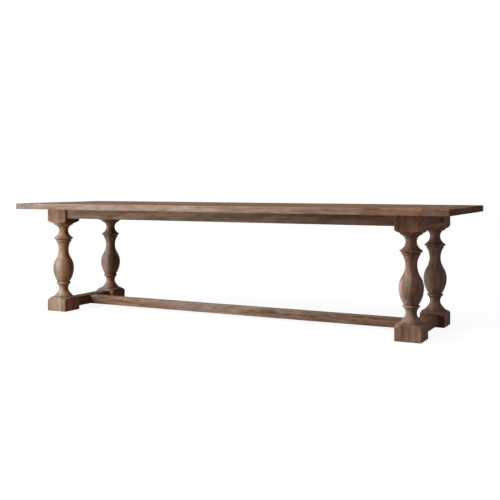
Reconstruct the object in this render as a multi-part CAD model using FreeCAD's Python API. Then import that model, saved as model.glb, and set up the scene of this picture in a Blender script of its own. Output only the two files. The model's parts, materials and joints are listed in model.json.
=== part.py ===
import FreeCAD
import Part

import math
import os

# A long farmhouse dining table. A plank top with breadboard ends stands on four turned
# baluster legs, joined by aprons under the top and by an H of stretchers near the floor.
# Millimetres. +X runs along the table, +Y across it, +Z up, and the origin is on the floor
# under the middle of the top.

# Overall sizes
table_length = 3048.0
table_width = 952.0
table_height = 762.0

# Fits shared by the wooden joints and the hardware
glue_gap = 0.1  # each cheek of a tenon, tongue or spline
end_gap = 2.0  # left beyond the end of a tenon, tongue or peg
bolt_gap = 0.25  # round a bolt that passes through wood
overrun = 5.0  # how far a cutter passes the face that it opens

# Top boards
top_thickness = 40.0
plank_width_shares = (0.165, 0.172, 0.158, 0.170, 0.161, 0.174)
board_easing = 2.0  # radius worked on the long edges of the boards
breadboard_width = 150.0
tongue_length = 45.0
tongue_thickness = 13.0
groove_stop = 25.0  # solid wood at each end of a breadboard's groove
spline_width = 26.0
spline_thickness = 8.0
spline_stop = 80.0  # from a plank's shoulder to the end of its splines

# Pegs that hold the breadboards, driven from below
peg_diameter = 10.0
peg_setback = 22.0  # from the seam to the peg's centre
peg_cover = 8.0  # wood left above a peg
peg_play = 2.0  # slot at each side of a peg in the tongue

# Legs
leg_blank = 158.0
leg_arris = 3.0
end_overhang = 183.5  # top beyond the legs' faces, at the ends
side_overhang = 119.5  # top beyond the legs' faces, at the sides
plinth_height = 98.5
block_height = 105.5
plinth_fall = 24.5  # from the plinth's collar down to its corners
plinth_crown = 5.5  # how far its rounded shoulder stands off a straight slope
block_fall = 20.0  # from the block's collar up to its corners
block_crown = 1.0
collar_radius_share = 0.83  # of half the blank

# The turning between plinth and block, from the bottom up: share of the turned height,
# then share of half the blank
turning_shares = {
    "bead foot": (0.0, 0.740),
    "bead crown": (0.0092, 0.806),
    "bead top": (0.0184, 0.740),
    "flare fillet": (0.0184, 0.724),
    "flare foot": (0.0233, 0.720),
    "flare bend": (0.0649, 0.509),
    "ankle": (0.1114, 0.409),
    "scotia top": (0.1735, 0.557),
    "astragal foot": (0.1735, 0.576),
    "astragal crown": (0.1871, 0.633),
    "astragal top": (0.2007, 0.576),
    "quirk foot": (0.2007, 0.522),
    "quirk top": (0.2095, 0.522),
    "belly foot": (0.2095, 0.552),
    "belly": (0.3924, 0.915),
    "waist": (0.6444, 0.438),
    "lip": (0.7587, 0.639),
    "fillet foot": (0.7587, 0.684),
    "fillet top": (0.7742, 0.684),
    "ring quirk foot": (0.7742, 0.652),
    "ring quirk top": (0.781, 0.652),
    "ring foot": (0.781, 0.709),
    "ring low": (0.7946, 0.812),
    "ring crown": (0.803, 0.838),
    "ring high": (0.8114, 0.812),
    "cavetto foot": (0.8114, 0.757),
    "cavetto bend": (0.843, 0.545),
    "neck": (0.9079, 0.404),
    "cove top": (0.984, 0.778),
    "collar fillet": (0.984, 0.810),
    "collar": (1.0, 0.810),
}

# Aprons
apron_height = 65.5
apron_thickness = 32.0
apron_recess = 15.0  # set back from the legs' faces
apron_easing = 2.0
apron_tenon_length = 60.0
apron_tenon_thickness = 12.0
apron_tenon_inset = 10.0  # below the apron's top edge and above its lower one

# Bearers across the underside of the top
bearer_count = 3
bearer_width = 45.0
bearer_height = 45.0
bearer_tenon_length = 12.0
bearer_tenon_inset = 10.0  # on all four sides
bearer_bore_depth = 18.0  # counterbore for a screw's head
bearer_bore_diameter = 14.0

# Stretchers
end_stretcher_width = 88.0
end_stretcher_height = 66.0
end_stretcher_lift = 18.0  # above the floor
end_tenon_length = 60.0
end_tenon_thickness = 30.0
end_tenon_inset = 12.0  # above and below
long_stretcher_width = 68.0
long_stretcher_height = 58.0
long_stretcher_lift = 20.0
long_tenon_length = 28.0
long_tenon_inset = 14.0  # on all four sides
stretcher_easing = 3.0

# Bolts that draw the long stretcher to the end stretchers
bolt_diameter = 10.0
bolt_head_diameter = 17.0
bolt_head_height = 7.0
bolt_socket_diameter = 9.0
bolt_socket_depth = 4.0
bolt_past_nut = 6.0
washer_diameter = 24.0
washer_thickness = 2.0
plug_thickness = 8.0
counterbore_depth = 26.0
barrel_nut_diameter = 16.0
barrel_nut_length = 34.0
barrel_nut_setback = 50.0  # from the long stretcher's shoulder

# Steel brackets that hold the long aprons to the legs
bracket_leaf = 60.0
bracket_height = 46.0
bracket_thickness = 4.0
bracket_screw_pitch = 24.0
lag_diameter = 8.0
lag_length = 60.0
lag_head_across = 13.0
lag_head_height = 5.5
lag_washer_diameter = 20.0
lag_washer_thickness = 1.6

# Buttons that hold the top down on the aprons
button_width = 34.0
button_depth = 38.0
button_height = 24.0
button_gap = 2.0  # between button and apron, for the top's movement
button_tongue_length = 10.0
button_tongue_thickness = 9.0
button_tongue_drop = 12.0  # from the top's underside to the tongue
button_slot_play = 2.0  # at each end of the tongue and below it
long_button_count = 4  # on each long apron
end_button_count = 2  # on each end apron

# Wood screws
screw_diameter = 4.5
screw_head_diameter = 9.0
screw_head_height = 4.0
screw_slot_width = 1.2
screw_slot_depth = 1.2
screw_tip_gap = 2.0  # between a screw's tip in the top and the level of the splines
bracket_screw_bite = 20.0

# Glides under the plinths
glide_diameter = 50.0
glide_thickness = 5.0
glide_proud = 2.0
glide_nail_diameter = 4.0
glide_nail_length = 20.0

# Places worked out from the sizes above
vector = FreeCAD.Vector
up = vector(0, 0, 1)
top_underside = table_height - top_thickness
top_middle = table_height - top_thickness / 2
screw_bite = (top_thickness - spline_thickness) / 2 - screw_tip_gap
seam_x = table_length / 2 - breadboard_width
half_blank = leg_blank / 2
leg_x = table_length / 2 - end_overhang - half_blank
leg_y = table_width / 2 - side_overhang - half_blank
plinth_bottom = glide_proud
turning_bottom = plinth_bottom + plinth_height
turning_top = top_underside - block_height
apron_bottom = top_underside - apron_height
apron_face_y = leg_y + half_blank - apron_recess
apron_face_x = leg_x + half_blank - apron_recess
apron_inner_y = apron_face_y - apron_thickness
apron_inner_x = apron_face_x - apron_thickness
long_apron_half = leg_x - half_blank
end_apron_half = leg_y - half_blank
end_stretcher_top = end_stretcher_lift + end_stretcher_height
long_stretcher_half = leg_x - end_stretcher_width / 2
bolt_level = long_stretcher_lift + long_stretcher_height / 2
counterbore_end = leg_x + end_stretcher_width / 2 - counterbore_depth
bracket_level = top_underside - apron_height / 2
corners = {
    "front_left": (-1, -1),
    "front_right": (1, -1),
    "back_left": (-1, 1),
    "back_right": (1, 1),
}


# Small helpers

def span(centre, size):
    return centre - size / 2, centre + size / 2


def block(x_span, y_span, z_span):
    (x0, x1), (y0, y1), (z0, z1) = (sorted(s) for s in (x_span, y_span, z_span))
    return Part.makeBox(x1 - x0, y1 - y0, z1 - z0, vector(x0, y0, z0))


def signed(sign, ends):
    return sign * ends[0], sign * ends[1]


def rod(radius, start, end):
    run = end - start
    return Part.makeCylinder(radius, run.Length, start, run)


def eased(shape, radius, along):
    """Rounds the straight edges of a shape that run along one axis."""
    def runs_along(edge):
        run = edge.Vertexes[-1].Point - edge.Vertexes[0].Point
        return run.Length > 0 and abs(run.normalize().dot(along)) > math.cos(math.radians(1))
    return shape.makeFillet(radius, [e for e in shape.Edges if runs_along(e)])


def placed(shape, point, turn):
    """A copy turned about Z by some degrees, then carried to a point."""
    moved = shape.copy()
    moved.rotate(vector(0, 0, 0), up, turn)
    moved.translate(point)
    return moved


def write(name, shapes):
    shape = Part.Compound(shapes) if isinstance(shapes, list) else shapes
    shape.exportStep(os.path.join("parts", name + ".step"))


# Where the repeated pieces go

def plank_spans():
    """The two side faces of each plank, from front to back."""
    edges = [-table_width / 2]
    for share in plank_width_shares:
        edges.append(edges[-1] + share * table_width)
    return list(zip(edges[:-1], edges[1:]))


def tongue_span(plank):
    """A plank's tongue, kept off the closed ends of the breadboard's groove."""
    limit = table_width / 2 - groove_stop - end_gap
    return max(plank[0], -limit), min(plank[1], limit)


def bearer_places():
    pitch = 2 * long_apron_half / (bearer_count + 1)
    return [(i + 1) * pitch - long_apron_half for i in range(bearer_count)]


def along(half, count):
    """Centres of equal bays between -half and half."""
    return [((i + 0.5) / count * 2 - 1) * half for i in range(count)]


def button_places():
    """For each apron, the points on its inner face at the top's underside, and the turn
    that points a button's depth towards the middle of the table."""
    long_run = along(long_apron_half, long_button_count)
    end_run = along(end_apron_half, end_button_count)
    return {
        "front": [(vector(x, -apron_inner_y, top_underside), 0) for x in long_run],
        "back": [(vector(x, apron_inner_y, top_underside), 180) for x in long_run],
        "left": [(vector(-apron_inner_x, y, top_underside), -90) for y in end_run],
        "right": [(vector(apron_inner_x, y, top_underside), 90) for y in end_run],
    }


def bearer_screw_places():
    """One screw for each plank that a bearer crosses, at the middle of the plank."""
    reach = apron_inner_y - bearer_bore_diameter
    middles = [(a + b) / 2 for a, b in plank_spans()]
    return [vector(x, y, top_underside) for x in bearer_places() for y in middles if abs(y) < reach]


# Wood screws

def screw(grip, bite, gap=0.0):
    """A countersunk screw standing on its head: the held piece lies from 0 down to -grip,
    and the thread bites upwards from 0. With a gap it is the hole for that screw."""
    head_radius = screw_head_diameter / 2 + gap
    shank_radius = screw_diameter / 2 + gap
    head = Part.makeCone(head_radius, shank_radius, screw_head_height, vector(0, 0, -grip))
    shank = rod(shank_radius, vector(0, 0, -grip), vector(0, 0, bite))
    if gap:
        return head.fuse(shank)
    slot_levels = (-grip, screw_slot_depth - grip)
    slot = block(span(0, screw_head_diameter), span(0, screw_slot_width), slot_levels)
    return head.fuse(shank).cut(slot)


def screw_thread_hole(bite):
    return rod(screw_diameter / 2, vector(0, 0, -overrun), vector(0, 0, bite))


def button_screw_centre():
    return vector(0, button_gap + button_depth / 2, 0)


def top_screw_holes():
    """The screw holes in the underside of the top."""
    hole = screw_thread_hole(screw_bite)
    holes = [placed(hole, point, 0) for point in bearer_screw_places()]
    for places in button_places().values():
        for point, turn in places:
            at_button = placed(hole, button_screw_centre(), 0)
            holes.append(placed(at_button, point, turn))
    return holes


# Top

def peg_centres(sign):
    """One peg for each plank, in the middle of its tongue."""
    x = sign * (seam_x + peg_setback)
    return [vector(x, sum(tongue_span(p)) / 2, 0) for p in plank_spans()]


def plank(index):
    """A plank of the top with a tongue at each end and a groove for a spline at each joint."""
    faces = plank_spans()[index]
    body = block((-seam_x, seam_x), faces, (top_underside, table_height))
    body = eased(body, board_easing, vector(1, 0, 0))
    tongue_end = seam_x + tongue_length
    tongues = block((-tongue_end, tongue_end), tongue_span(faces), span(top_middle, tongue_thickness))
    body = body.fuse(tongues)
    cutters = top_screw_holes()
    for face in faces:
        if abs(face) < table_width / 2 - spline_width:
            cutters.append(spline(face, glue_gap))
    for sign in (-1, 1):
        centre = peg_centres(sign)[index]
        for shift in (-peg_play, peg_play):
            side = centre + vector(0, shift, 0)
            cutters.append(rod(peg_diameter / 2, side, side + up * table_height))
        cutters.append(block(span(centre.x, peg_diameter), span(centre.y, 2 * peg_play), (0, table_height)))
    near = [c for c in cutters if c.BoundBox.intersect(body.BoundBox)]
    return body.cut(near).removeSplitter()


def spline(face, gap=0.0):
    """The loose strip that keys two planks together. With a gap it is the groove for it."""
    half_length = seam_x - spline_stop + gap
    return block(
        (-half_length, half_length),
        span(face, spline_width + 2 * gap),
        span(top_middle, spline_thickness + 2 * gap),
    )


def splines():
    return [spline(faces[1]) for faces in plank_spans()[:-1]]


def breadboard(sign):
    """The board across one end of the top, grooved for the planks' tongues."""
    outer = table_length / 2
    body = block(signed(sign, (seam_x, outer)), span(0, table_width), (top_underside, table_height))
    body = eased(body, board_easing, vector(0, 1, 0))
    groove = block(
        signed(sign, (seam_x - overrun, seam_x + tongue_length + end_gap)),
        span(0, table_width - 2 * groove_stop),
        span(top_middle, tongue_thickness + 2 * glue_gap),
    )
    return body.cut([groove] + breadboard_pegs(sign))


def breadboard_pegs(sign):
    foot = up * top_underside
    head = up * (table_height - peg_cover)
    return [rod(peg_diameter / 2, centre + foot, centre + head) for centre in peg_centres(sign)]


# Legs

class Outline:
    """A run of lines and arcs in the XZ half-plane, X being the radius of the turning."""

    def __init__(self, start):
        self.here = start
        self.edges = []

    def line(self, end):
        self.edges.append(Part.LineSegment(self.here, end).toShape())
        self.here = end

    def through(self, middle, end):
        self.edges.append(Part.Arc(self.here, middle, end).toShape())
        self.here = end

    def arc_upright_at(self, upright, end):
        """An arc to end that runs along Z at the point upright, which is one of its ends."""
        other = end if upright == self.here else self.here
        chord = other - upright
        radius = chord.Length ** 2 / (2 * chord.x)
        centre = upright + vector(radius, 0, 0)
        spoke = upright + chord / 2 - centre
        self.through(centre + spoke.normalize() * abs(radius), end)

    def crowned(self, end, rise):
        """An arc to end that stands off its chord by a rise, on the right of the way it runs."""
        chord = end - self.here
        out = vector(chord.z, 0, -chord.x).normalize()
        self.through(self.here + chord / 2 + out * rise, end)

    def ogee(self, end):
        """Two equal arcs, upright at both ends and meeting half way."""
        start = self.here
        self.arc_upright_at(start, (start + end) / 2)
        self.arc_upright_at(end, end)


def turned_outline():
    """The lathe outline of a leg, closed along its axis."""
    rise = turning_top - turning_bottom

    def at(name):
        height, radius = turning_shares[name]
        return vector(radius * half_blank, 0, turning_bottom + height * rise)

    collar = collar_radius_share * half_blank
    corner = math.hypot(half_blank, half_blank)
    outside = corner + overrun
    path = Outline(vector(0, 0, plinth_bottom))
    path.line(vector(outside, 0, plinth_bottom))
    path.line(vector(outside, 0, turning_bottom - plinth_fall - overrun))
    path.line(vector(corner, 0, turning_bottom - plinth_fall))
    path.crowned(vector(collar, 0, turning_bottom), plinth_crown)
    path.line(at("bead foot"))
    path.through(at("bead crown"), at("bead top"))
    path.line(at("flare fillet"))
    path.line(at("flare foot"))
    path.line(at("flare bend"))
    path.arc_upright_at(at("ankle"), at("ankle"))
    path.arc_upright_at(path.here, at("scotia top"))
    path.line(at("astragal foot"))
    path.through(at("astragal crown"), at("astragal top"))
    path.line(at("quirk foot"))
    path.line(at("quirk top"))
    path.line(at("belly foot"))
    path.arc_upright_at(at("belly"), at("belly"))
    path.ogee(at("waist"))
    path.arc_upright_at(path.here, at("lip"))
    path.line(at("fillet foot"))
    path.line(at("fillet top"))
    path.line(at("ring quirk foot"))
    path.line(at("ring quirk top"))
    path.line(at("ring foot"))
    path.line(at("ring low"))
    path.through(at("ring crown"), at("ring high"))
    path.line(at("cavetto foot"))
    path.line(at("cavetto bend"))
    path.arc_upright_at(at("neck"), at("neck"))
    path.arc_upright_at(path.here, at("cove top"))
    path.line(at("collar fillet"))
    path.line(at("collar"))
    path.line(vector(collar, 0, turning_top))
    path.crowned(vector(corner, 0, turning_top + block_fall), block_crown)
    path.line(vector(outside, 0, turning_top + block_fall + overrun))
    path.line(vector(outside, 0, top_underside))
    path.line(vector(0, 0, top_underside))
    path.line(vector(0, 0, plinth_bottom))
    return Part.Wire(path.edges)


def turned_leg():
    """A square blank turned between its plinth and its top block, standing on the origin."""
    turned = Part.Face(turned_outline()).revolve(vector(0, 0, 0), up, 360)
    blank = block(span(0, leg_blank), span(0, leg_blank), (plinth_bottom, top_underside))
    return eased(blank, leg_arris, up).common(turned)


def leg(sx, sy):
    centre = vector(sx * leg_x, sy * leg_y, 0)
    body = placed(turned_leg(), centre, 0)
    cutters = [
        long_apron_tenon(sx, sy, glue_gap, end_gap),
        end_apron_tenon(sx, sy, glue_gap, end_gap),
        end_stretcher_tenon(sx, sy, glue_gap, end_gap),
        lag_shank(sx, sy),
        placed(glide(), centre, 0),
    ]
    return body.cut(cutters)


def glide():
    """A round glide let into the foot of a plinth, with its nail."""
    disc = rod(glide_diameter / 2, vector(0, 0, 0), up * glide_thickness)
    nail = rod(glide_nail_diameter / 2, up * glide_thickness, up * (glide_thickness + glide_nail_length))
    return disc.fuse(nail)


# Aprons and bearers

def apron_tenon_span(gap):
    low = apron_bottom + apron_tenon_inset - gap
    return low, top_underside - apron_tenon_inset + gap


def long_apron_tenon(sx, sy, gap=0.0, beyond=0.0):
    middle = apron_face_y - apron_thickness / 2
    return block(
        signed(sx, (long_apron_half - overrun, long_apron_half + apron_tenon_length + beyond)),
        signed(sy, span(middle, apron_tenon_thickness + 2 * gap)),
        apron_tenon_span(gap),
    )


def end_apron_tenon(sx, sy, gap=0.0, beyond=0.0):
    middle = apron_face_x - apron_thickness / 2
    return block(
        signed(sx, span(middle, apron_tenon_thickness + 2 * gap)),
        signed(sy, (end_apron_half - overrun, end_apron_half + apron_tenon_length + beyond)),
        apron_tenon_span(gap),
    )


def button_slots(side):
    slot = block(
        span(0, button_width + 2 * button_slot_play),
        (-button_tongue_length - button_slot_play, overrun),
        (-button_tongue_drop - button_tongue_thickness - button_slot_play, -button_tongue_drop),
    )
    return [placed(slot, point, turn) for point, turn in button_places()[side]]


def long_apron(side, sy):
    body = block(
        span(0, 2 * long_apron_half),
        signed(sy, (apron_inner_y, apron_face_y)),
        (apron_bottom, top_underside),
    )
    body = eased(body, apron_easing, vector(1, 0, 0))
    body = body.fuse([long_apron_tenon(sx, sy) for sx in (-1, 1)])
    cutters = button_slots(side)
    cutters += [bearer_tenon(x, sy, glue_gap, end_gap) for x in bearer_places()]
    cutters += [s for sx in (-1, 1) for s in bracket_screws(sx, sy, True)]
    return body.cut(cutters).removeSplitter()


def end_apron(side, sx):
    body = block(
        signed(sx, (apron_inner_x, apron_face_x)),
        span(0, 2 * end_apron_half),
        (apron_bottom, top_underside),
    )
    body = eased(body, apron_easing, vector(0, 1, 0))
    body = body.fuse([end_apron_tenon(sx, sy) for sy in (-1, 1)])
    return body.cut(button_slots(side)).removeSplitter()


def bearer_tenon(x, sy, gap=0.0, beyond=0.0):
    return block(
        span(x, bearer_width - 2 * bearer_tenon_inset + 2 * gap),
        signed(sy, (apron_inner_y - overrun, apron_inner_y + bearer_tenon_length + beyond)),
        span(top_underside - bearer_height / 2, bearer_height - 2 * bearer_tenon_inset + 2 * gap),
    )


def bearer(x):
    body = block(
        span(x, bearer_width),
        span(0, 2 * apron_inner_y),
        (top_underside - bearer_height, top_underside),
    )
    body = body.fuse([bearer_tenon(x, sy) for sy in (-1, 1)])
    grip = bearer_height - bearer_bore_depth
    hole = screw(grip, overrun, bolt_gap)
    bore = rod(bearer_bore_diameter / 2, up * (-bearer_height - overrun), up * -grip)
    cutters = [placed(c, p, 0) for p in bearer_screw_places() for c in (hole, bore)]
    near = [c for c in cutters if c.BoundBox.intersect(body.BoundBox)]
    return body.cut(near).removeSplitter()


def bearer_screws():
    one = screw(bearer_height - bearer_bore_depth, screw_bite)
    return [placed(one, point, 0) for point in bearer_screw_places()]


# Buttons

def button():
    """A button in its own frame: the apron's inner face is at Y 0, the top's underside at Z 0."""
    body = block(
        span(0, button_width),
        (button_gap, button_gap + button_depth),
        (-button_height, 0),
    )
    tongue = block(
        span(0, button_width),
        (-button_tongue_length, button_gap + overrun),
        (-button_tongue_drop - button_tongue_thickness, -button_tongue_drop),
    )
    hole = placed(screw(button_height, overrun, bolt_gap), button_screw_centre(), 0)
    return body.fuse(tongue).cut(hole).removeSplitter()


def buttons(side):
    return [placed(button(), point, turn) for point, turn in button_places()[side]]


def button_screws():
    one = placed(screw(button_height, screw_bite), button_screw_centre(), 0)
    return [placed(one, point, turn) for places in button_places().values() for point, turn in places]


# Stretchers

def end_stretcher_tenon(sx, sy, gap=0.0, beyond=0.0):
    return block(
        signed(sx, span(leg_x, end_tenon_thickness + 2 * gap)),
        signed(sy, (end_apron_half - overrun, end_apron_half + end_tenon_length + beyond)),
        (end_stretcher_lift + end_tenon_inset - gap, end_stretcher_top - end_tenon_inset + gap),
    )


def end_stretcher(sx):
    body = block(
        signed(sx, span(leg_x, end_stretcher_width)),
        span(0, 2 * end_apron_half),
        (end_stretcher_lift, end_stretcher_top),
    )
    body = eased(body, stretcher_easing, vector(0, 1, 0))
    body = body.fuse([end_stretcher_tenon(sx, sy) for sy in (-1, 1)])
    cutters = [
        long_stretcher_tenon(sx, glue_gap, end_gap),
        bolt_hole(sx),
        counterbore(sx),
    ]
    return body.cut(cutters).removeSplitter()


def long_stretcher_tenon(sx, gap=0.0, beyond=0.0):
    return block(
        signed(sx, (long_stretcher_half - overrun, long_stretcher_half + long_tenon_length + beyond)),
        span(0, long_stretcher_width - 2 * long_tenon_inset + 2 * gap),
        span(bolt_level, long_stretcher_height - 2 * long_tenon_inset + 2 * gap),
    )


def long_stretcher():
    body = block(
        span(0, 2 * long_stretcher_half),
        span(0, long_stretcher_width),
        span(bolt_level, long_stretcher_height),
    )
    body = eased(body, stretcher_easing, vector(1, 0, 0))
    body = body.fuse([long_stretcher_tenon(sx) for sx in (-1, 1)])
    cutters = []
    for sx in (-1, 1):
        nut_centre = barrel_nut_centre(sx)
        nut_bottom = vector(nut_centre.x, 0, long_stretcher_lift - overrun)
        nut_top = nut_centre + up * (barrel_nut_length / 2)
        cutters += [bolt_hole(sx), rod(barrel_nut_diameter / 2, nut_bottom, nut_top)]
    return body.cut(cutters).removeSplitter()


def barrel_nut_centre(sx):
    return vector(sx * (long_stretcher_half - barrel_nut_setback), 0, bolt_level)


def bolt_tip(sx):
    past = barrel_nut_diameter / 2 + bolt_past_nut
    return barrel_nut_centre(sx) - vector(sx * past, 0, 0)


def bolt_hole(sx):
    end = bolt_tip(sx) - vector(sx * end_gap, 0, 0)
    return rod(bolt_diameter / 2 + bolt_gap, vector(sx * counterbore_end, 0, bolt_level), end)


def counterbore(sx):
    mouth = leg_x + end_stretcher_width / 2 + overrun
    return rod(
        washer_diameter / 2,
        vector(sx * counterbore_end, 0, bolt_level),
        vector(sx * mouth, 0, bolt_level),
    )


def stretcher_bolt(sx):
    seat = counterbore_end + washer_thickness
    head_end = seat + bolt_head_height

    def at(x):
        return vector(sx * x, 0, bolt_level)

    head = rod(bolt_head_diameter / 2, at(seat), at(head_end))
    shank = rod(bolt_diameter / 2, bolt_tip(sx), at(seat))
    socket = rod(bolt_socket_diameter / 2, at(head_end - bolt_socket_depth), at(head_end))
    return head.fuse(shank).cut(socket)


def stretcher_washer(sx):
    inner = vector(sx * counterbore_end, 0, bolt_level)
    outer = inner + vector(sx * washer_thickness, 0, 0)
    ring = rod(washer_diameter / 2, inner, outer)
    return ring.cut(rod(bolt_diameter / 2, inner, outer))


def barrel_nut(sx):
    centre = barrel_nut_centre(sx)
    half = up * (barrel_nut_length / 2)
    body = rod(barrel_nut_diameter / 2, centre - half, centre + half)
    across = vector(barrel_nut_diameter, 0, 0)
    return body.cut(rod(bolt_diameter / 2, centre - across, centre + across))


def stretcher_plug(sx):
    face = leg_x + end_stretcher_width / 2
    return rod(
        washer_diameter / 2,
        vector(sx * (face - plug_thickness), 0, bolt_level),
        vector(sx * face, 0, bolt_level),
    )


# Brackets between the long aprons and the legs

def bracket(sx, sy):
    leg_face = long_apron_half
    levels = span(bracket_level, bracket_height)
    on_leg = block(
        signed(sx, (leg_face - bracket_thickness, leg_face)),
        signed(sy, (apron_inner_y - bracket_leaf, apron_inner_y)),
        levels,
    )
    on_apron = block(
        signed(sx, (leg_face - bracket_leaf, leg_face)),
        signed(sy, (apron_inner_y - bracket_thickness, apron_inner_y)),
        levels,
    )
    return on_leg.fuse(on_apron).removeSplitter().cut(bracket_screws(sx, sy, True) + [lag_shank(sx, sy)])


def bracket_screws(sx, sy, as_holes=False):
    """Two screws through a bracket's leaf into the long apron."""
    one = screw(bracket_thickness, bracket_screw_bite, bolt_gap if as_holes else 0.0)
    one.rotate(vector(0, 0, 0), vector(1, 0, 0), -90 * sy)
    middle = long_apron_half - bracket_leaf / 2 - bracket_thickness / 2
    return [
        placed(one, vector(sx * (middle + shift), sy * apron_inner_y, bracket_level), 0)
        for shift in span(0, bracket_screw_pitch)
    ]


def lag_line(sx, sy):
    """The point on a leg's inner face where its lag bolt goes in."""
    y = apron_inner_y - bracket_leaf / 2 - bracket_thickness / 2
    return vector(sx * long_apron_half, sy * y, bracket_level)


def lag_shank(sx, sy):
    at_face = lag_line(sx, sy)
    under_head = at_face - vector(sx * (bracket_thickness + lag_washer_thickness), 0, 0)
    return rod(lag_diameter / 2, under_head, under_head + vector(sx * lag_length, 0, 0))


def lag_bolt(sx, sy):
    under_head = lag_line(sx, sy) - vector(sx * (bracket_thickness + lag_washer_thickness), 0, 0)
    corner_radius = lag_head_across / 2 / math.cos(math.radians(30))
    points = [
        under_head + vector(0, corner_radius * math.cos(a), corner_radius * math.sin(a))
        for a in (math.radians(60 * i) for i in range(7))
    ]
    hexagon = Part.Face(Part.makePolygon(points))
    return hexagon.extrude(vector(-sx * lag_head_height, 0, 0)).fuse(lag_shank(sx, sy))


def lag_washer(sx, sy):
    outer = lag_line(sx, sy) - vector(sx * bracket_thickness, 0, 0)
    inner = outer - vector(sx * lag_washer_thickness, 0, 0)
    return rod(lag_washer_diameter / 2, inner, outer).cut(rod(lag_diameter / 2, inner, outer))


def main():
    os.makedirs("parts", exist_ok=True)
    for index in range(len(plank_width_shares)):
        write(f"top_plank_{index + 1}", plank(index))
    write("plank_splines", splines())
    for side, sx in (("left", -1), ("right", 1)):
        write(f"breadboard_{side}", breadboard(sx))
        write(f"breadboard_pegs_{side}", breadboard_pegs(sx))
        write(f"apron_{side}", end_apron(side, sx))
        write(f"end_stretcher_{side}", end_stretcher(sx))
    for side, sy in (("front", -1), ("back", 1)):
        write(f"apron_{side}", long_apron(side, sy))
    for side in button_places():
        write(f"top_buttons_{side}", buttons(side))
    write("button_screws", button_screws())
    for number, x in enumerate(bearer_places(), 1):
        write(f"bearer_{number}", bearer(x))
    write("bearer_screws", bearer_screws())
    for corner, (sx, sy) in corners.items():
        write(f"leg_{corner}", leg(sx, sy))
        write(f"foot_glide_{corner}", placed(glide(), vector(sx * leg_x, sy * leg_y, 0), 0))
        write(f"bracket_{corner}", bracket(sx, sy))
    write("bracket_screws", [s for signs in corners.values() for s in bracket_screws(*signs)])
    write("lag_bolts", [lag_bolt(*signs) for signs in corners.values()])
    write("lag_washers", [lag_washer(*signs) for signs in corners.values()])
    write("long_stretcher", long_stretcher())
    write("stretcher_bolts", [stretcher_bolt(sx) for sx in (-1, 1)])
    write("stretcher_washers", [stretcher_washer(sx) for sx in (-1, 1)])
    write("barrel_nuts", [barrel_nut(sx) for sx in (-1, 1)])
    write("stretcher_plugs", [stretcher_plug(sx) for sx in (-1, 1)])


main()
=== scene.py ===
import json
import math

import bpy
import numpy as np
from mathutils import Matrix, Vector


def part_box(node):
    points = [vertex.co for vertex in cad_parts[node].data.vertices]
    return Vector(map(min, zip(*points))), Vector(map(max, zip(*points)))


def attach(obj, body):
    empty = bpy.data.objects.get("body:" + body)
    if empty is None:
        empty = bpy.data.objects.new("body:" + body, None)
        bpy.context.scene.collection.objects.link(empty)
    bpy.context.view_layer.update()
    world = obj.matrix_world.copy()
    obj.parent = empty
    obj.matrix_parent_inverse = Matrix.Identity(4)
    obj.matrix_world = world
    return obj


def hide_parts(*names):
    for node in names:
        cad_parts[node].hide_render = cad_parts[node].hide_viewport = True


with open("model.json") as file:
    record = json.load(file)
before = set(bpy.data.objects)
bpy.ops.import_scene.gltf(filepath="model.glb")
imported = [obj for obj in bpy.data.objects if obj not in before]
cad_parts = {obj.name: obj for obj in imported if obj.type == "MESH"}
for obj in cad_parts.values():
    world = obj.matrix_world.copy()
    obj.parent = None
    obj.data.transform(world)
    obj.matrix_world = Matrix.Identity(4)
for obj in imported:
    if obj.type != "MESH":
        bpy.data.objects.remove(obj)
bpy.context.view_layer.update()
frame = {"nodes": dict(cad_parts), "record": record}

mm = 0.001
nodes = frame["nodes"]
scene = bpy.context.scene
print("frame loaded:", len(nodes), "nodes")


# Shared arithmetic

latticeSide = 48
farAway = 9.0  # m, for a point with no knot near it
sawnBleach = 0.8  # how bleached sawn ends are


# a share that starts and stops gently
def smooth(share):
    return share * share * (3 - 2 * share)


# how far values have come from start to end, held between nought and one
def shareOf(values, start, end):
    return np.clip((values - start) / (end - start), 0, 1)


# value noise: random numbers on a cubic lattice, blended between its points by a smooth step
def softNoise(places, cell, seed):
    lattice = np.random.default_rng(seed).uniform(-1, 1, (latticeSide,) * 3)
    steps = places / np.asarray(cell)
    low = np.floor(steps).astype(int)
    share = smooth(steps - low)
    total = np.zeros(places.shape[:-1])
    for corner in np.ndindex(2, 2, 2):
        weight = np.where(corner, share, 1 - share).prod(-1)
        i, j, k = np.moveaxis((low + corner) % latticeSide, -1, 0)
        total += weight * lattice[i, j, k]
    return total


def nodeSpan(node):
    low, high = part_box(node)
    return np.array(low), np.array(high)


# four corner numbers for each cell of a grid of points, counter-clockwise
def gridCells(rows, columns):
    number = np.arange(rows * columns).reshape(rows, columns)
    cells = [number[:-1, :-1], number[1:, :-1], number[1:, 1:], number[:-1, 1:]]
    return np.stack([c.ravel() for c in cells], 1)


# puts points, faces, a map and the fields that the wood reads into one mesh
def addPiece(name, points, faces, faceMap, fields, material, replaced):
    mesh = bpy.data.meshes.new(name)
    mesh.from_pydata(points.tolist(), [], faces)
    mesh.uv_layers.new(name="OFBake").uv.foreach_set("vector", faceMap.astype(np.float32).ravel())
    for key, values in fields.items():
        isVector = values.ndim == 2
        layer = mesh.attributes.new(key, "FLOAT_VECTOR" if isVector else "FLOAT", "POINT")
        layer.data.foreach_set("vector" if isVector else "value", values.astype(np.float32).ravel())
    mesh.shade_smooth()
    mesh.materials.append(material)
    piece = bpy.data.objects.new(name, mesh)
    scene.collection.objects.link(piece)
    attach(piece, "root")
    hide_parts(*replaced)


# Shader helpers

# a socket is linked, a plain value is set on the input itself
def plugIn(node, inputs):
    for key, value in inputs.items():
        if isinstance(value, bpy.types.NodeSocket):
            node.id_data.links.new(value, node.inputs[key])
        else:
            node.inputs[key].default_value = value


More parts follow.
